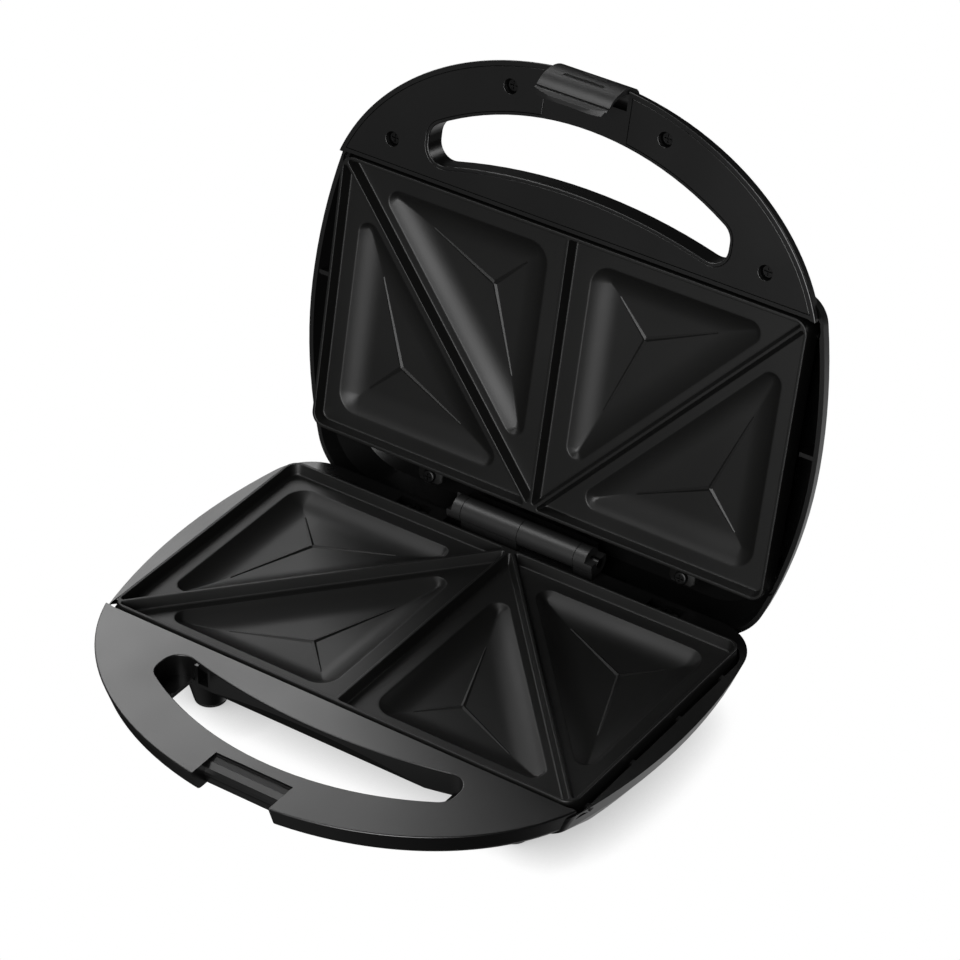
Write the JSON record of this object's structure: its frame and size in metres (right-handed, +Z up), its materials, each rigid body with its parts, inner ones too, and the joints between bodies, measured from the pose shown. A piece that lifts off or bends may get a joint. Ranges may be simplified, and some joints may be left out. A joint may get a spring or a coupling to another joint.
{
  "type": "sandwich toaster",
  "caption": "Hinged two-slice sandwich toaster standing open, with triangle pocket plates, loop handles and a front latch.",
  "frame": {"origin": "on the table, under the middle of the open toaster's bounding box", "axes": "+X to the right seen from the handle side, +Y from the handle to the hinge, +Z up"},
  "size_m": [0.244, 0.2564, 0.2382],
  "materials": {
    "black_moulding": "satin",
    "nonstick_casting": "satin",
    "zinc_steel": "satin",
    "heater_sheath": "satin",
    "bright_sheet": "polished",
    "brass_fitting": "satin",
    "white_plastic": "matte",
    "black_rubber": "matte",
    "black_hinge": "satin",
    "red_lens": "gloss",
    "green_lens": "gloss",
    "lamp_glass": "clear"
  },
  "bodies": {
    "base": {"base_handle_cover": "black_moulding", "base_handle_screws": "zinc_steel", "base_hinge": "black_hinge", "base_hinge_screws": "zinc_steel", "base_shell": "black_moulding", "cord_bushing": "black_rubber", "foot_pads": "black_rubber", "fuse_strap": "bright_sheet", "hinge_pin": "zinc_steel", "lower_clamp_screws": "zinc_steel", "lower_heater": "heater_sheath", "lower_heater_clamps": "zinc_steel", "lower_plate": "nonstick_casting", "lower_plate_screws": "zinc_steel", "lower_reflector": "bright_sheet", "lower_reflector_screws": "zinc_steel", "terminal_block": "white_plastic", "terminal_screws": "brass_fitting", "thermal_fuse": "brass_fitting", "thermostat": "zinc_steel"},
    "lid": {"latch_pin": "zinc_steel", "lens_left": "red_lens", "lens_right": "green_lens", "lid_handle_cover": "black_moulding", "lid_handle_screws": "zinc_steel", "lid_hinge": "black_hinge", "lid_hinge_screws": "zinc_steel", "lid_shell": "black_moulding", "pilot_lamps": "lamp_glass", "upper_clamp_screws": "zinc_steel", "upper_heater": "heater_sheath", "upper_heater_clamps": "zinc_steel", "upper_plate": "nonstick_casting", "upper_plate_screws": "zinc_steel", "upper_reflector": "bright_sheet", "upper_reflector_screws": "zinc_steel"},
    "latch": {"latch": "black_moulding"}
  },
  "joints": [
    {"name": "lid_hinge", "type": "hinge", "parent": "base", "child": "lid", "pos_m": [0, 0.06969, 0.043], "axis": [1, 0, 0], "range_deg": [0, 102.5]},
    {"name": "latch_pivot", "type": "hinge", "parent": "lid", "child": "latch", "pos_m": [0, 0.11665, 0.23079], "axis": [1, 0, 0], "range_deg": [0, 10]}
  ]
}
